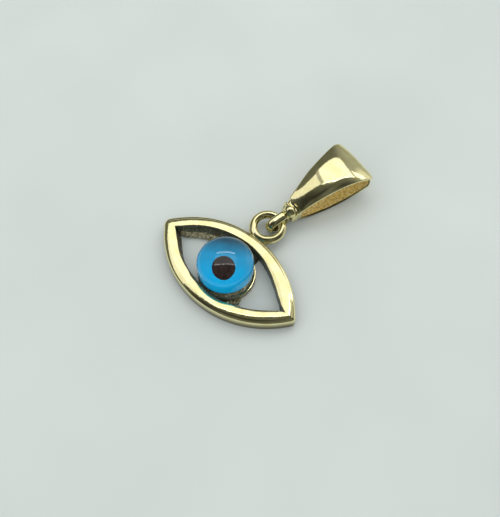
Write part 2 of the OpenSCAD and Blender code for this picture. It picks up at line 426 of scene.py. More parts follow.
def makePaleFloor():
    material, tree, shader = newMaterial("paleFloor")
    f = floorFinish
    soft = textured(tree, f["shadeScale"], detail=2.0, seed=0.09)
    share = fromTo(tree, soft, f["shadeEdge"])
    feed(shader, {"Base Color": blend(tree, share, f["color"], f["shade"]), **f["inputs"]})
    return material


gold = makeGold()
shadeAndSolderGold = makeShadeAndSolderGold()
castGold = makeCastGold("castGold")
castTan = makeCastGold("castTan")
cupGold = makeCastGold("cupGold")
blueGlass = makeBlueGlass()
blackGlass = makeBlackGlass()
paleFloor = makePaleFloor()
print("materials ready")


# the almond frame of the eye

eyeBand = {
    "length": 15.2,
    "width": 8.1,
    "bandWidth": 1.05,
    "tipWidth": 1.1,
    "height": 1.34,
    "shoulder": 0.42,      # radius of the outer shoulder
    "domeRadius": 2.6,     # the top is a shallow dome across the band
    "crest": 0.63,         # where that dome is highest, from the outside
    "crestFollows": 0.5,   # how far it moves in, for each mm by which the lower arm is wider
    "crestFrom": 1.1,      # than this
    "groove": 0.04,        # depth of the fine line that the polishing left along the upper shoulder
    "grooveAt": 112,       # where that line lies on the shoulder, in degrees, with 180 at its outside
    "grooveWidth": 12,
    "edge": 0.06,          # how far the wall's painted shade reaches over the inner edge
    "shadeStrip": 0.2,           # width of the strip of painted shade at the inner edge of the lower arm,
    "shadeStripX": (-2.9, 2.4),  # which lies beside the bead, between these places
    "shadeStripFade": 1.2,
    "tipRadius": 0.35,
    "leftTip": 0.68,       # the left tip is rounder
    "leftShort": (0.1, 0.2),   # and lies nearer, at its outside and at its opening,
    "leftFrom": -3.6,      # with the arms drawn in from here
    "leftFade": 3.2,
    "innerEdge": 0.09,     # radius of the edge round the opening
    "footEdge": 0.05,
    "wallZone": 0.2,       # the casting and the feet below reach this far into the band
    "lumps": ((0.30, 3.1), (0.12, 8.4), 0.8),
    "castLumps": 0.056,    # depth of the rough casting inside the upper left arm,
    "castX": (-6.3, -0.4),     # which lies between these places
    "castZ": 0.86,             # and reaches this high,
    "castFade": (1.2, 0.5, 0.2, 0.1),  # over which it fades: right, left, up and down
    "footLumps": 0.05,     # unevenness where the walls of the opening widen to their feet,
    "footZ": (0.95, 0.45),     # from the first height down to the second
    "lumpsFrom": 0.25,     # the tips, this near to the middle line, stay free of lumps
    "columns": 241,        # sections along each arm,
    "crowding": 0.7,       # with this share of them drawn towards the tips
    # points of a section along its outer wall, shoulder, top, inner edge and inner wall
    "steps": (7, 34, 23, 7, 15),
    # how far the edge of the opening, and the foot of its wall, stand further in, along x
    "upperIn": ((-6.5, 0.0), (-6.0, 0.06), (0.0, 0.07), (2.0, 0.15), (3.0, 0.28), (4.0, 0.38),
                (5.0, 0.42), (5.8, 0.30), (6.3, 0.10), (6.5, 0.0)),
    "lowerIn": ((-6.5, 0.0), (-6.1, 0.12), (-5.2, 0.24), (-4.0, 0.22), (-3.0, 0.24), (-2.0, 0.30),
                (-0.6, 0.27), (0.6, 0.17), (1.7, 0.14), (2.5, 0.2), (5.2, 0.28), (6.1, 0.2), (6.5, 0.0)),
    "upperFoot": ((-6.5, 0.0), (-6.1, 0.35), (-5.4, 0.74), (-3.2, 0.78), (-1.6, 0.45), (-0.4, 0.0),
                  (6.5, 0.0)),
    "lowerFoot": ((-6.5, 0.0), (-6.2, 0.25), (-5.6, 0.42), (-4.0, 0.24), (-2.0, 0.1), (1.5, 0.05),
                  (2.5, 0.16), (5.8, 0.18), (6.5, 0.0)),
}


def bandShape(tip):
    # arcs and tips of the almond, for that radius of its outer tip
    e = eyeBand
    halfLength, halfWidth = e["length"] / 2, e["width"] / 2
    tipX = halfLength - tip
    outerArc = (tipX ** 2 + halfWidth ** 2 - tip ** 2) / (2 * (halfWidth - tip))
    openX, openY = halfLength - e["tipWidth"], halfWidth - e["bandWidth"]
    innerArc = (openX ** 2 + openY ** 2) / (2 * openY)
    return tipX, outerArc, outerArc - halfWidth, innerArc, innerArc - openY, openX


def outlinePoint(inset, share):
    # the outer outline, shrunk by inset, walked from the left tip (0) to the right tip (1)
    tip = eyeBand["tipRadius"] if share > 0.5 else eyeBand["leftTip"]
    tipX, outerArc, outerDrop = bandShape(tip)[:3]
    radius, corner = outerArc - inset, max(tip - inset, 0.0)
    tipAngle = math.atan2(tipX, outerDrop) if corner > 0 else math.acos(outerDrop / radius)
    cornerLength = corner * (math.pi / 2 - tipAngle)
    total = 2 * (cornerLength + radius * tipAngle)
    way = total * min(share, 1 - share)
    if way < cornerLength:
        x, y = tipX + corner * math.cos(way / corner), corner * math.sin(way / corner)
    else:
        a = tipAngle - (way - cornerLength) / radius
        x, y = radius * math.sin(a), radius * math.cos(a) - outerDrop
    return (x if share > 0.5 else -x), y


def openingPoint(share, side):
    innerArc, innerDrop, openX = bandShape(eyeBand["tipRadius"])[3:]
    a = math.asin(openX / innerArc) * (2 * share - 1)
    x = innerArc * math.sin(a)
    y = innerArc * math.cos(a) - innerDrop
    return x, max(0.0, y - lookUp(eyeBand["upperIn"] if side > 0 else eyeBand["lowerIn"], x) / math.cos(a))


def bandProfile(width, side=0):
    # section of the band as (distance from the outer wall, height), from the outer foot to the inner foot
    e = eyeBand
    foot = e["footEdge"]
    outerSteps, shoulderSteps, domeSteps, edgeSteps, innerSteps = e["steps"]
    domeX = e["crest"] + (e["crestFollows"] * max(0.0, width - e["crestFrom"]) if side < 0 else 0.0)
    domeZ = e["height"] - e["domeRadius"]
    groove = e["groove"] if side > 0 else 0.0
    reach = e["domeRadius"] - e["shoulder"]
    shoulderZ = domeZ + math.sqrt(reach ** 2 - (domeX - e["shoulder"]) ** 2)
    outerTop = toward((domeX, domeZ), (e["shoulder"], shoulderZ))
    inside = e["domeRadius"] - e["innerEdge"]
    innerX = width - e["innerEdge"]
    innerZ = domeZ + math.sqrt(inside ** 2 - (innerX - domeX) ** 2)
    innerTop = toward((domeX, domeZ), (innerX, innerZ))
    profile = [(foot, 0.0), (foot * 0.3, foot * 0.3)]
    profile += [(0.0, z) for z in ramp(foot, shoulderZ - 0.06, outerSteps)]
    for a in ramp(180, outerTop, shoulderSteps):
        depth = e["shoulder"] - groove * bell(a, e["grooveAt"], e["grooveWidth"])
        c, s = onCircle(a)
        profile.append((e["shoulder"] + depth * c, shoulderZ + depth * s))
    profile += arcPoints((domeX, domeZ), e["domeRadius"], outerTop, innerTop, domeSteps)[1:]
    profile += arcPoints((innerX, innerZ), e["innerEdge"], innerTop, 0, edgeSteps)[1:]
    profile += [(width, z) for z in ramp(innerZ - 0.05, foot, innerSteps)]
    profile += [(width - foot * 0.3, foot * 0.3), (width - foot, 0.0), (width / 2, 0.0)]
    return profile


def castMask(x, z):
    # where the wall of the opening was left as cast: low on the upper arm, left of the bead
    (fromX, toX), top = eyeBand["castX"], eyeBand["castZ"]
    right, left, up, down = eyeBand["castFade"]
    return ease((toX - x) / right) * ease((x - fromX) / left) * ease((top - z) / up) * ease(z / down)


def makeEyeBand():
    e = eyeBand
    outerArc, outerDrop = bandShape(e["tipRadius"])[1:3]
    columns = [mix(u, (1 - math.cos(math.pi * u)) / 2, e["crowding"]) for u in ramp(0, 1, e["columns"])]
    rows = len(bandProfile(1.0))
    shoulderEnd = 1 + e["steps"][0] + e["steps"][1]
    topEnd = shoulderEnd + e["steps"][2] - 1
    edge = bandProfile(1.0)[shoulderEnd][0]
    (shadeStripFrom, shadeStripTo), fade = e["shadeStripX"], e["shadeStripFade"]
    lowFrom, lowTo = e["footZ"]
    points, faces, walls = [], [], []
    for side in (1, -1):
        faces += gridFaces(len(columns), rows, wrapCols=True, start=len(points))
        feet = e["upperFoot"] if side > 0 else e["lowerFoot"]
        for share in columns:
            ox, oy = openingPoint(share, side)
            width = outerArc - math.hypot(ox, oy + outerDrop)
            foot = lookUp(feet, ox)
            shadeStrip = e["shadeStrip"] * ease((ox - shadeStripFrom) / fade) * ease((shadeStripTo - ox) / fade) if side < 0 else 0.0
            for n, (d, z) in enumerate(bandProfile(width, side)):
                if d <= edge:
                    x, y = outlinePoint(d, share)
                else:
                    ex, ey = outlinePoint(edge, share)
                    t = (d - edge) / (width - edge)
                    x, y = mix(ex, ox, t), mix(ey, oy, t)
                inWall = d - width + e["wallZone"]
                rough = castMask(x, z) if side > 0 and inWall > 0 else 0.0
                if inWall > 0 and n > topEnd:
                    low = ease((lowFrom - z) / (lowFrom - lowTo)) * ease(inWall / 0.15)
                    y = max(y - foot * low, 0.0)
                    if y > e["lumpsFrom"]:
                        y -= (rough * e["castLumps"] + e["footLumps"] * low) * lumps((x, y, z), *e["lumps"])
                # 0 is polished, 1 a wall painted dark for shade and 2 left as cast
                walls.append((d > width - e["edge"] - shadeStrip and n > shoulderEnd + 4) + (rough > 0.5))
                x += mix(*e["leftShort"], d / width) * ease((e["leftFrom"] - x) / e["leftFade"])
                points.append((x, side * y, z))
    marks = [min(walls[k] for k in face) for face in faces]
    return newPiece("eyeBand", points, faces, gold, "eye_frame", sharp=28,
                    more=(shadeAndSolderGold, castTan), marks=marks)


# the bezel cup under the glass, with the solder that holds it

cup = {
    "x": 0.08,
    "y": -0.2,
    "radius": 2.58,
    "flare": 0.1,          # how far the solder at its foot stands out
    "flareTo": -58,        # on that side, in degrees round the cup,
    "flareWidth": 38,      # fading out over these degrees
    "flareHeight": 0.42,
    "lumpy": 1.4,          # how uneven that solder is, as a share of the flare
    "lumps": ((0.25, 4.4), (0.12, 9.1), 0.7),
    "height": 0.74,
    "wall": 0.2,
    "floor": 0.6,
    "rimWave": 0.012,
    "litArc": (-24, 74),    # the part of its wall and rim left polished gold where light falls, in degrees round the cup; the rest is painted dark for shade
    "turns": 180,
    "seamWidth": 2.4,
    "seamHeight": 0.46,
    "seamSag": 0.16,       # how deep the solder sinks between cup and arm,
    "seamBite": (0.1, 0.12),   # how far it reaches into both
    "seamFall": 0.75,      # and how much lower it is at its ends, as a share
}


def makeCup():
    c = cup
    outer, inner, rim = c["radius"], c["radius"] - c["wall"], c["wall"] / 2
    flare, foot = c["flare"], 0.04
    profile = [(0.0, 0.0), (1.2, 0.0), (outer + flare - 0.06, 0.0), (outer + flare, foot)]
    sandy = len(profile) + 3   # faces below this row keep the skin of the casting
    profile += [(outer + flare * (1 - t) ** 2, mix(foot, c["flareHeight"], t)) for t in ramp(0.2, 1.0, 7)]
    wallFrom = len(profile)
    profile += [(outer, z) for z in ramp(0.5, c["height"] - rim, 4)]
    profile += arcPoints((outer - rim, c["height"] - rim), rim, 0, 180, 9)[1:]
    rimTo = len(profile) - 1
    profile += [(inner - 0.02, c["floor"] + 0.02), (inner - 0.06, c["floor"])]
    profile += [(r, c["floor"]) for r in ramp(inner - 0.2, 1.6, 5)] + [(0.0, c["floor"])]

    def wobble(a, radius, height):
        high = ease((height - 0.4) / 0.3) * ease((radius - 2) / 0.4)
        wave = math.sin(3 * a + 0.6) + 0.6 * math.sin(7 * a + 2) + 0.4 * math.sin(13 * a)
        spot = (radius * math.cos(a), radius * math.sin(a), height)
        lump = c["lumpy"] * lumps(spot, *c["lumps"])
        there = bell(math.remainder(math.degrees(a) - c["flareTo"], 360), 0, c["flareWidth"])
        swell = max(radius - outer, 0.0) * ((1 + lump) * there - 1)
        return high * c["rimWave"] * wave + swell, high * c["rimWave"] * math.sin(5 * a + 1)

    points, faces = lathe(profile, c["turns"], wobble)
    # painted shade: the wall and rim outside the lit arc take the dark shade material, as does the solder
    # flare; the inside and the sandy foot are cast gold
    marks = []
    for n in range(len(faces)):
        row, a = n // c["turns"], n % c["turns"] * 360 / c["turns"]
        litArc = a < c["litArc"][1] or a > 360 + c["litArc"][0]
        marks.append(2 if row >= rimTo or row < sandy else 0 if row >= wallFrom and litArc else 1)
    place = Matrix.Translation((c["x"], c["y"], 0))
    return newPiece("bezelCup", points, faces, gold, "eye_frame", place, sharp=35,
                    more=(shadeAndSolderGold, cupGold), marks=marks)


solderBits = (
    # x, y, z and radius of the lumps of solder that were left between cup and lower arm
    (2.50, -1.32, 0.16, 0.17), (2.62, -1.62, 0.22, 0.15), (2.38, -1.78, 0.20, 0.20),
    (2.16, -2.02, 0.26, 0.18), (2.64, -1.95, 0.14, 0.14), (2.40, -2.20, 0.22, 0.19),
    (2.82, -2.22, 0.13, 0.13), (1.92, -2.28, 0.24, 0.20), (2.60, -2.42, 0.16, 0.16),
    (2.92, -1.78, 0.10, 0.09), (2.58, 0.10, 0.14, 0.09), (3.92, -2.10, 0.10, 0.09),
)


def makeSolderBits():
    points, faces = [], []
    for n, (x, y, z, radius) in enumerate(solderBits):
        ball, some = lathe(arcPoints((0, 0), radius, -90, 90, 13), 20)
        start = len(points)
        for p in ball:
            swell = 1 + 0.45 * grain(p, radius * 0.9, 2.0 + n)
            points.append((x + p[0] * swell, y + p[1] * swell, max(z + p[2] * swell * 0.9, 0.01)))
        faces += [tuple(start + k for k in face) for face in some]
    return newPiece("solderBits", points, faces, castTan, "eye_frame", sharp=60)


def makeSeam(name, side):
    # solder drawn up between the cup's wall and one arm of the frame
    c = cup
    innerArc, innerDrop = bandShape(eyeBand["tipRadius"])[3:5]
    across, along = ramp(0, 1, 13), ramp(-1, 1, 33)
    points = []
    for u in along:
        x = c["x"] + u * c["seamWidth"] / 2
        arm = side * (math.sqrt(innerArc ** 2 - x ** 2) - innerDrop + c["seamBite"][1])
        wall = c["y"] + side * (math.sqrt(c["radius"] ** 2 - (x - c["x"]) ** 2) - c["seamBite"][0])
        high = c["seamHeight"] * (1 - c["seamFall"] * abs(u) ** 3)
        for t in across:
            sag = c["seamSag"] * math.sin(math.pi * t)
            z = high - sag * high / c["seamHeight"] + 0.07 * grain((x, t, 1), 0.3, 5.0)
            z += 0.05 * grain((x, t * 0.5, 2), 0.11, 7.0)
            points.append((x, mix(wall, arm, t), max(z, 0.06)))
    top = len(points)
    points += [(x, y, 0.02) for x, y, z in points]
    rows, cols = len(along), len(across)
    faces = gridFaces(rows, cols) + gridFaces(rows, cols, start=top)
    border = [i * cols for i in range(rows)] + [(rows - 1) * cols + j for j in range(1, cols)]
    border += [i * cols + cols - 1 for i in range(rows - 2, -1, -1)] + list(range(cols - 2, 0, -1))
    faces += [(a, b, b + top, a + top) for a, b in zip(border, border[1:] + border[:1])]
    return newPiece(name, points, faces, shadeAndSolderGold, "eye_frame", sharp=50)


# the ring that is soldered to the top of the frame

topRing = {
    "y": 5.59,
    "z": 0.94,
    "radius": 1.345,
    "wire": 0.375,
    "solder": 0.03,        # how much the solder thickens the wire where it meets the frame,
    "solderAt": (-57, -123),   # in degrees round the ring
    "solderWidth": 24,
    "steps": (144, 32),    # points along the ring and around the wire
}


def makeTopRing():
    r = topRing
    points = []
    turns, around = r["steps"]
    for a in fullTurn(turns):
        deg = math.degrees(a) - 360 * (a > math.pi)
        thick = r["wire"] + r["solder"] * sum(bell(deg, at, r["solderWidth"]) for at in r["solderAt"])
        for b in fullTurn(around):
            reach = r["radius"] + thick * math.cos(b)
            points.append((reach * math.cos(a), r["y"] + reach * math.sin(a), r["z"] + thick * math.sin(b)))
    faces = gridFaces(turns, around, wrapRows=True, wrapCols=True)
    return newPiece("topRing", points, faces, gold, "eye_frame")


# the glass eye and its pupil

bead = {
    "radius": 2.49,
    "height": 3.10,
    "girth": 1.68,
    "lowGirth": 0.95,      # the side is straight between these two heights
    "sideRadius": 1.1,
    "footEdge": 0.12,
    "tilt": -4,
    "tiltTo": 135,
    "x": 0.03,
    "y": -0.24,
    "z": 0.69,
    "pupilRadius": 1.0,
    "pupilRise": 0.015,    # the pupil stands this little above the glass round it
    "pupilDepth": 0.28,
    "pupilShift": 1.15,
    "pupilShiftTo": -53,
    "pupilLong": 1.03,
    "pupilWave": 0.012,    # how far its outline strays from round
}


def beadPlace():
    turn = Matrix.Rotation(math.radians(bead["tiltTo"]), 4, "Z")
    tilt = Matrix.Rotation(math.radians(-bead["tilt"]), 4, "Y")
    return Matrix.Translation((bead["x"], bead["y"], bead["z"])) @ turn @ tilt @ turn.inverted()


def beadDome():
    sideX = bead["radius"] - bead["sideRadius"]
    rise = bead["height"] - bead["girth"]
    domeRadius = (sideX ** 2 + rise ** 2 - bead["sideRadius"] ** 2) / (2 * (rise - bead["sideRadius"]))
    return sideX, domeRadius, bead["height"] - domeRadius


def makeBead():
    b = bead
    sideX, domeRadius, domeZ = beadDome()
    join = toward((0.0, domeZ), (sideX, b["girth"]))
    low = math.degrees(math.asin((b["footEdge"] - b["lowGirth"]) / (b["sideRadius"] - b["footEdge"])))
    edge = (sideX + (b["sideRadius"] - b["footEdge"]) * onCircle(low)[0], b["footEdge"])
    profile = [(0.0, 0.0), (edge[0] * 0.6, 0.0)]
    profile += arcPoints(edge, b["footEdge"], -90, low, 6)
    profile += arcPoints((sideX, b["lowGirth"]), b["sideRadius"], low, 0, 20)[1:]
    profile += arcPoints((sideX, b["girth"]), b["sideRadius"], 0, join, 40)
    profile += arcPoints((0.0, domeZ), domeRadius, join, 90, 40)[1:]
    points, faces = lathe(profile, 160)
    return newPiece("glassBead", points, faces, blueGlass, "glass_eye", beadPlace(), sharp=60)


def makePupil():
    # a disc that follows the dome, with a round edge and a skirt sunk into the glass
    b = bead
    domeRadius, domeZ = beadDome()[1:]
    c, s = onCircle(b["pupilShiftTo"])
    lean = math.cos(math.asin(b["pupilShift"] / domeRadius)) * b["pupilLong"]
    rings = [(r, b["pupilRise"]) for r in ramp(0.0, b["pupilRadius"] - 0.03, 26)]
    rim, rise, depth = b["pupilRadius"], b["pupilRise"], -b["pupilDepth"]
    rings += [(rim - 0.012, rise - 0.006), (rim, rise - 0.025), (rim, -0.1)]
    rings += [(rim - 0.06, depth), (0.0, depth)]
    points, turns = [], 128
    for radius, up in rings:
        for a in fullTurn(turns):
            wave = b["pupilWave"] * (math.sin(2 * a + 0.5) + 0.5 * math.sin(5 * a))
            r = radius + ease((radius - 0.6) / 0.4) * wave
            out, along = r * math.cos(a) * lean, r * math.sin(a)
            x = (b["pupilShift"] + out) * c - along * s
            y = (b["pupilShift"] + out) * s + along * c
            points.append((x, y, domeZ + math.sqrt(domeRadius ** 2 - x ** 2 - y ** 2) + up))
    faces = gridFaces(len(rings), turns, wrapCols=True)
    return newPiece("blackPupil", points, faces, blackGlass, "pupil", beadPlace(), sharp=60)


# the bail: strap, neck, knob and loop, measured along the bail from the ring's centre

bail = {
    "turn": 11.2,
    "roll": 4.5,
    "shift": 0.18,
    "height": 0.99,        # the loop's middle above the surface
    "drop": 0.404,         # the neck's middle above the loop's
    "neckY": 3.02,
    "length": 7.58,
    "topWidth": 4.92,
    "neckWidth": 1.88,
    "neckHeight": 1.74,
    "wall": 0.28,
    "frontRadius": 6.3,
    "crossRadius": 11.0,
    "leftFall": 0.50,      # how far the front falls off to its left edge, halfway up
    "rightFall": 0.20,     # and to its right edge
    "crestNear": 0.5,      # where it is highest, as a share of its half width to the right, near the neck
    "crestFar": 0.2,       # and near the fold,
    "crestTurn": (0.45, 0.4),  # changing from this share of the way, over that much of it
    "backRadius": 8.6,
    "foldRadius": 0.95,
    "foldRise": 0.8,
    "cornerRadius": 0.5,
    "leftBow": 0.2,        # how far the left edge bows out,
    "bowFade": (3, 1.2, 1.2),  # over these lengths from the neck, from the fold and from the middle
    "castLumps": 0.03,     # depth of the casting grain inside
    "lumps": ((0.14, 6.2), (0.06, 1.3), 0.6),
    "steps": (56, 28, 48),     # points along its front, its fold and its back
}


def bailPlace(up=0.0):
    turn = Matrix.Rotation(math.radians(-bail["turn"]), 4, "Z")
    roll = Matrix.Rotation(math.radians(bail["roll"]), 4, "Y")
    return Matrix.Translation((bail["shift"], topRing["y"], bail["height"])) @ turn @ roll \
        @ Matrix.Translation((0, 0, up))


def meet(p, rp, q, rq, side):
    # centre of the circle at distance rp from p and rq from q
    dx, dy = q[0] - p[0], q[1] - p[1]
    d = math.hypot(dx, dy)
    along = (d * d + rp * rp - rq * rq) / (2 * d)
    across = math.sqrt(rp * rp - along * along) * side
    return (p[0] + (along * dx - across * dy) / d, p[1] + (along * dy + across * dx) / d)


def strapHalf(y):
    # half width of the strap at a place along the bail, with the round corners at its end
    b = bail
    tipY = b["neckY"] + b["length"]
    slope = (b["topWidth"] - b["neckWidth"]) / 2 / b["length"]
    lean = math.atan(slope)
    corner = b["cornerRadius"]
    cornerX = b["topWidth"] / 2 - corner * (1 / math.cos(lean) + math.tan(lean))
    cornerY = tipY - corner
    if y < cornerY - corner * math.sin(lean):
        return b["neckWidth"] / 2 + slope * (y - b["neckY"])
    return cornerX + math.sqrt(max(corner ** 2 - (y - cornerY) ** 2, 0.0))


def strapColumn(w, inset=0.0):
    # side profile of the strap at the share w of its half width: front, fold and back as (y, z)
    b = bail
    tipY = b["neckY"] + b["length"]
    cross = b["crossRadius"]

    def fall(x):
        return cross - math.sqrt(cross ** 2 - x ** 2)

    tipFall, neckFall = fall(w * b["topWidth"] / 2), fall(w * b["neckWidth"] / 2)
    fold = b["foldRadius"] - tipFall / 2
    foldAt = (tipY - fold, b["foldRise"] - tipFall / 2)
    neckTop, neckFoot = (b["neckY"], b["neckHeight"] / 2 - neckFall), (b["neckY"], -b["neckHeight"] / 2)
    front = meet(neckTop, b["frontRadius"], foldAt, b["frontRadius"] - fold, -1)
    back = meet(neckFoot, b["backRadius"], foldAt, b["backRadius"] - fold, 1)
    frontFrom, frontTo = toward(front, neckTop), toward(front, foldAt)
    # neither is above 0, so fold and back are walked the same way round
    backFrom, backTo = [a - 360 if a > 0 else a for a in (toward(back, foldAt), toward(back, neckFoot))]
    frontSteps, foldSteps, backSteps = b["steps"]
    turnFrom, turnOver = b["crestTurn"]
    column = []
    for k, (y, z) in enumerate(arcPoints(front, b["frontRadius"] - inset, frontFrom, frontTo, frontSteps)):
        share = k / (frontSteps - 1)
        crest = mix(b["crestNear"], b["crestFar"], ease((share - turnFrom) / turnOver))
        if w < crest:
            lower = b["leftFall"] * ((crest - w) / (1 + crest)) ** 2.5
        else:
            lower = b["rightFall"] * ((w - crest) / (1 - crest)) ** 3
        lower -= fall(w * mix(b["neckWidth"], b["topWidth"], share) / 2)
        column.append((y, z - lower * math.sin(math.pi * share) ** 1.2))
    column += arcPoints(foldAt, fold - inset, frontTo, backFrom, foldSteps)[1:]
    column += arcPoints(back, b["backRadius"] - inset, backFrom, backTo, backSteps)[1:]
    return column


def makeStrap():
    b = bail
    half = b["wall"] / 2
    shares = [math.sin(t * math.pi / 2) * 0.35 + t * 0.65 for t in ramp(-1, 1, 41)]
    edges = ramp(0, 180, 9)[1:-1]
    outerColumns = {w: strapColumn(w) for w in shares}
    innerColumns = {w: strapColumn(w, b["wall"]) for w in shares}

    def spot(columns, w, k):
        # a point of the strap, with its left edge bowed out
        outerY = outerColumns[w][k][0]
        x = w * (strapHalf(outerY) - half)
        ways = (outerY - b["neckY"], b["neckY"] + b["length"] - outerY, -x)
        bow = math.prod(ease(way / fade) for way, fade in zip(ways, b["bowFade"]))
        return Vector((x - b["leftBow"] * bow, *columns[w][k]))

    def roundEdge(start, end, side):
        # half a circle from one face of the strap to the other
        mid, up, out = (start + end) / 2, (start - end) / 2, Vector((side * half, 0, 0))
        return [mid + up * c + out * s for c, s in map(onCircle, edges)]

    points = []
    count = len(outerColumns[shares[0]])
    for k in range(count):
        outer = [spot(outerColumns, w, k) for w in shares]
        inner = [spot(innerColumns, w, k) for w in reversed(shares)]
        for p, opposite in zip(inner, reversed(outer)):
            p -= (opposite - p).normalized() * b["castLumps"] * lumps(p, *b["lumps"])
        right = roundEdge(outer[-1], inner[0], 1)
        left = roundEdge(inner[-1], outer[0], -1)
        points += outer + right + inner + left
    around = len(points) // count
    faces = gridFaces(count, around, wrapCols=True)
    innerFrom, innerTo = len(outer) + len(edges), len(outer) + len(edges) + len(inner) - 1
    marks = [int(innerFrom <= k % around < innerTo) for k in range(len(faces))]
    capEnds(points, faces, around)
    marks += [0] * (len(faces) - len(marks))
    return newPiece("bailStrap", points, faces, gold, "bail", bailPlace(b["drop"]), sharp=50,
                    more=(castGold,), marks=marks)


def roundedLoop(halfWidth, top, bottom, corner):
    # rounded rectangle as (x, z), anticlockwise from the right side
    loop, sideCount, cornerCount = [], 6, 6
    corners = [((halfWidth - corner, top - corner), 0), ((-halfWidth + corner, top - corner), 90),
               ((-halfWidth + corner, bottom + corner), 180), ((halfWidth - corner, bottom + corner), 270)]
    for n, (center, start) in enumerate(corners):
        loop += arcPoints(center, corner, start, start + 90, cornerCount)
        after = corners[(n + 1) % 4]
        first = loop[-1]
        nextPoint = arcPoints(after[0], corner, after[1], after[1] + 90, cornerCount)[0]
        for t in ramp(0, 1, sideCount)[1:-1]:
            loop.append((mix(first[0], nextPoint[0], t), mix(first[1], nextPoint[1], t)))
    return loop


neckStations = [
    # y, half width, top, bottom, corner radius
    (3.07, 0.90, 0.84, -0.86, 0.14),
    (3.02, 0.93, 0.82, -0.86, 0.18),
    (2.98, 0.91, 0.74, -0.85, 0.26),
    (2.90, 0.88, 0.64, -0.84, 0.34),
    (2.80, 0.87, 0.58, -0.83, 0.38),
    (2.70, 0.87, 0.57, -0.82, 0.40),
    (2.62, 0.88, 0.62, -0.82, 0.41),
    (2.56, 0.90, 0.70, -0.83, 0.42),
    (2.51, 0.92, 0.75, -0.84, 0.42),
    (2.46, 0.93, 0.77, -0.84, 0.42),
    (2.41, 0.92, 0.74, -0.84, 0.42),
    (2.37, 0.89, 0.64, -0.82, 0.40),
    (2.33, 0.84, 0.50, -0.80, 0.38),
    (2.26, 0.82, 0.42, -0.78, 0.38),
    (2.14, 0.81, 0.40, -0.76, 0.38),
    (2.07, 0.78, 0.37, -0.74, 0.36),
    (2.04, 0.68, 0.28, -0.67, 0.28),
]


def makeNeck():
    points = []
    for y, halfWidth, top, bottom, corner in neckStations:
        points += [(x, y, z) for x, z in roundedLoop(halfWidth, top, bottom, corner)]
    around = len(points) // len(neckStations)
    faces = gridFaces(len(neckStations), around, wrapCols=True)
    capEnds(points, faces, around)
    return newPiece("bailNeck", points, faces, gold, "bail", bailPlace(bail["drop"]), sharp=60)


knob = {"x": 0.1, "y": 2.26, "z": 0.43, "radius": 0.52, "wide": 1.25}


def makeKnob():
    profile = arcPoints((0, 0), knob["radius"], -90, 90, 49)
    points, faces = lathe(profile, 72)
    points = [(knob["x"] + x * knob["wide"], knob["y"] + z, knob["z"] - y) for x, y, z in points]
    return newPiece("bailKnob", points, faces, gold, "bail", bailPlace(bail["drop"]))


loopWire = {
    "near": -0.31,
    "far": 2.28,
    "wire": 0.42,
    "width": 0.88,
    "high": 0.87,          # half height of the loop, outside
    "flange": 0.06,        # how much thicker its two thin flanges are, as a share of the wire,
    "flangeAt": (1.66, 1.86),  # at these places,
    "flangeWidth": 0.05,
    "squareness": 2.1,     # of the wire's section: 2 is an oval
    "steps": (41, 14, 36),     # points along each bend, along each side and around the wire
}


def makeLoop():
    w = loopWire
    bend = w["high"] - w["wire"] / 2
    nearY = w["near"] + w["wire"] / 2 + bend
    farY = w["far"] - w["wire"] / 2 - bend
    bendSteps, sideSteps, around = w["steps"]
    path = []                # (y, z, direction out of the loop)
    for endY, otherY, start in ((nearY, farY, 90), (farY, nearY, -90)):
        for a in ramp(start, start + 180, bendSteps):
            c, s = onCircle(a)
            path.append((endY + bend * c, bend * s, c, s))
        up = -1.0 if start > 0 else 1.0
        path += [(mix(endY, otherY, t), up * bend, 0.0, up) for t in ramp(0, 1, sideSteps)[1:-1]]
    points = []
    power = 2 / w["squareness"]
    for y, z, outY, outZ in path:
        swell = 1 + w["flange"] * sum(bell(y, at, w["flangeWidth"]) for at in w["flangeAt"]) * (z > 0)
        for b in fullTurn(around):
            c, s = math.cos(b), math.sin(b)
            out = w["wire"] / 2 * swell * math.copysign(abs(c) ** power, c)
            side = w["width"] / 2 * swell * math.copysign(abs(s) ** power, s)
            points.append((side, y + outY * out, z + outZ * out))
    faces = gridFaces(len(path), around, wrapRows=True, wrapCols=True)
    return newPiece("bailLoop", points, faces, gold, "bail", bailPlace())


makeEyeBand()
makeCup()
makeSeam("upperSolder", 1)
makeSeam("lowerSolder", -1)
makeSolderBits()
makeTopRing()
print("eye frame built")
makeBead()
makePupil()
print("glass eye built")
makeStrap()
makeNeck()
makeKnob()
makeLoop()
print("bail built")


# floor, light and camera

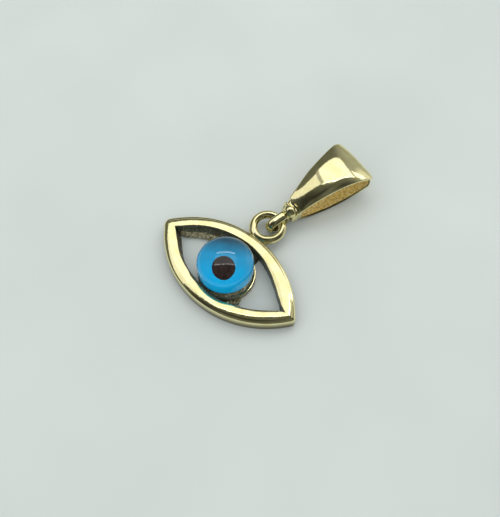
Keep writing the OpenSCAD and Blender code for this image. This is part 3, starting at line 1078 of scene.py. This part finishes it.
studio = {
    # floor and lamps in metres, the camera's place and target in mm
    "floorSize": 6.0,
    "camera": (16.96, -16.75, 50.43),
    "target": (0.538, 2.443, 0.0),
    "lens": 43.2,
    "view": 40.5,              # direction that the camera looks in, turned from +Y towards -X
    "fill": 0.83,              # strength of the even light
    "fillColor": (0.97, 1.0, 0.985, 1),
    "dim": (0.13, 0.135, 0.12, 1),     # what the polished gold mirrors round the soft boxes,
    "darkest": (0.03, 0.031, 0.028, 1),  # down to this
    "farWall": (0.42, 0.43, 0.40, 1),  # the brighter far side of the studio
    "farTurn": 58,             # degrees by which that side lies to the right of the view
    "farFade": (0.55, 0.95),
    "window": (0.85, 0.50, 0.30),      # a bright window low on that side: right, away and up
    "windowGlow": (0.85, 0.85, 0.80, 1),
    "windowEdge": (0.945, 0.97),
    "nearFade": (-0.25, 0.25),         # the dark patches lie on the camera's side of the room
    "patchScale": 1.3,
    "patchEdge": (0.38, 0.62),
    "boxHeight": 0.35,         # the soft boxes hang over the far side of the pendant
    "boxes": (
        # name, ends along and across as shares of the height, turn in degrees, glow, which pieces it lights
        ("softBox", (0.02, 1.3), (0.31, 1.12), 22.8, 1.15, "otherGold"),
        ("betweenBoxes", (-0.08, 0.02), (0.31, 1.12), 22.8, 0.3, "otherGold"),
        ("sideBox", (-1.6, -0.08), (0.31, 0.96), 22.8, 0.9, "otherGold"),
        ("bandBox", (-0.09, 1.3), (0.31, 0.68), 22.8, 1.15, "band"),
        ("bandSideBox", (-1.6, -0.09), (0.31, 0.68), 22.8, 0.9, "band"),
        ("farBox", (1.42, 2.5), (0.3, 0.75), 22.8, 1.1, "gold"),
        ("stripLight", (-0.05, 1.3), (0.277, 0.31), 22.8, 3.2, "gold"),
        ("glassBox", (-0.5, 0.46), (0.18, 0.7), 0.0, 0.9, "glass"),
        ("glassEdge", (-0.5, 0.46), (0.155, 0.18), 0.0, 7.5, "glass"),
        ("glassStrip", (-0.45, 0.3), (0.79, 0.93), 0.0, 5.0, "glass"),
        ("glassGlint", (0.1, 0.42), (0.81, 0.87), 0.0, 9.0, "glass"),
    ),
    # a low lamp far right that brings out the rim of the cup: direction, distance, size and glow
    "rimLamp": ((0.85, 0.42, 0.25), 0.3, (0.8, 0.3), 9.0),
}


def inView(right, away, up=0.0):
    # a direction given as the camera sees it: to the right, away from it and up
    c, s = onCircle(studio["view"])
    return Vector((c * right - s * away, s * right + c * away, up))


def makeFloor():
    s = studio["floorSize"] / 2
    mesh = bpy.data.meshes.new("studioFloor")
    mesh.from_pydata([(-s, -s, 0), (s, -s, 0), (s, s, 0), (-s, s, 0)], [], [(0, 1, 2, 3)])
    mesh.materials.append(paleFloor)
    newObject("studioFloor", mesh)


def addLamp(name, size, glow, at, lights):
    # an even rectangle of light for one group of pieces
    lamp = bpy.data.lights.new(name, "AREA")
    lamp.shape = "RECTANGLE"
    lamp.size, lamp.size_y = size
    lamp.energy = glow * lamp.size * lamp.size_y * math.pi
    box = newObject(name, lamp)
    box.location = at
    box.light_linking.receiver_collection = lit[lights]
    return box


def addSoftBox(name, along, across, turn, glow, lights):
    # a soft box that faces straight down, laid out by what mirrors it on a level surface
    high = studio["boxHeight"]
    c, s = onCircle(turn)
    m, n = sum(along) / 2, sum(across) / 2
    size = (along[1] - along[0]) * high, (across[1] - across[0]) * high
    box = addLamp(name, size, glow, inView(m * c - n * s, m * s + n * c, 1.0) * high, lights)
    box.rotation_euler = (0, 0, math.radians(turn + studio["view"]))


def aim(thing, direction, axis):
    # turns one of its axes to a direction
    thing.rotation_mode = "QUATERNION"
    thing.rotation_quaternion = direction.to_track_quat(axis, "Y")


def addRimLamp():
    direction, distance, size, glow = studio["rimLamp"]
    toLamp = inView(*direction).normalized()
    aim(addLamp("rimLamp", size, glow, toLamp * distance, "cup"), toLamp, "Z")


def makeCamera():
    data = bpy.data.cameras.new("camera")
    data.lens = studio["lens"]
    data.sensor_width = 36
    data.clip_start = 0.001
    data.clip_end = 5
    camera = newObject("camera", data)
    at, target = Vector(studio["camera"]) * mm, Vector(studio["target"]) * mm
    camera.location = at
    aim(camera, target - at, "-Z")
    bpy.context.scene.camera = camera


def makeSky():
    # even light for the floor and the glass, and a dim room with a brighter far side for the mirrors
    world = bpy.data.worlds.new("softStudio")
    bpy.context.scene.world = world
    world.use_nodes = True
    tree = world.node_tree
    s = studio
    even = tree.nodes["Background"]
    feed(even, {"Color": s["fillColor"], "Strength": s["fill"]})
    direction = tree.nodes.new("ShaderNodeTexCoord").outputs["Generated"]
    patchy = tree.nodes.new("ShaderNodeTexNoise")
    feed(patchy, {"Vector": direction, "Scale": s["patchScale"], "Detail": 1.0})
    patches = fromTo(tree, patchy.outputs["Fac"], s["patchEdge"])
    dark = blend(tree, patches, s["darkest"], s["dim"])
    near = fromTo(tree, wayAlong(tree, direction, inView(0.0, -1.0)), s["nearFade"])
    ahead, right = onCircle(s["farTurn"])
    toFar = wayAlong(tree, direction, inView(right, ahead))
    far = fromTo(tree, toFar, s["farFade"], soft=True)
    toWindow = wayAlong(tree, direction, inView(*s["window"]).normalized())
    seen = fromTo(tree, toWindow, s["windowEdge"])
    walls = blend(tree, far, blend(tree, near, s["dim"], dark), s["farWall"])
    room = tree.nodes.new("ShaderNodeBackground")
    feed(room, {"Color": blend(tree, seen, walls, s["windowGlow"])})
    rays = tree.nodes.new("ShaderNodeLightPath")
    choice = tree.nodes.new("ShaderNodeMixShader")
    feed(choice, {0: rays.outputs["Is Glossy Ray"], 1: even.outputs[0], 2: room.outputs[0]})
    feed(tree.nodes["World Output"], {"Surface": choice.outputs[0]})


makeFloor()
makeSky()
# the groups of pieces that the lamps light
groups = ("glass", "gold", "band", "otherGold", "cup")
lit = {name: bpy.data.collections.new(name + "Pieces") for name in groups}
for piece in bpy.context.scene.objects:
    if piece.type == "MESH" and piece.name in ("glassBead", "blackPupil"):
        lit["glass"].objects.link(piece)
    elif piece.type == "MESH":
        lit["gold"].objects.link(piece)
        lit["band" if piece.name == "eyeBand" else "otherGold"].objects.link(piece)
lit["cup"].objects.link(bpy.data.objects["bezelCup"])
for box in studio["boxes"]:
    addSoftBox(*box)
addRimLamp()
makeCamera()
bpy.context.scene.view_settings.view_transform = "Standard"
print("studio ready")
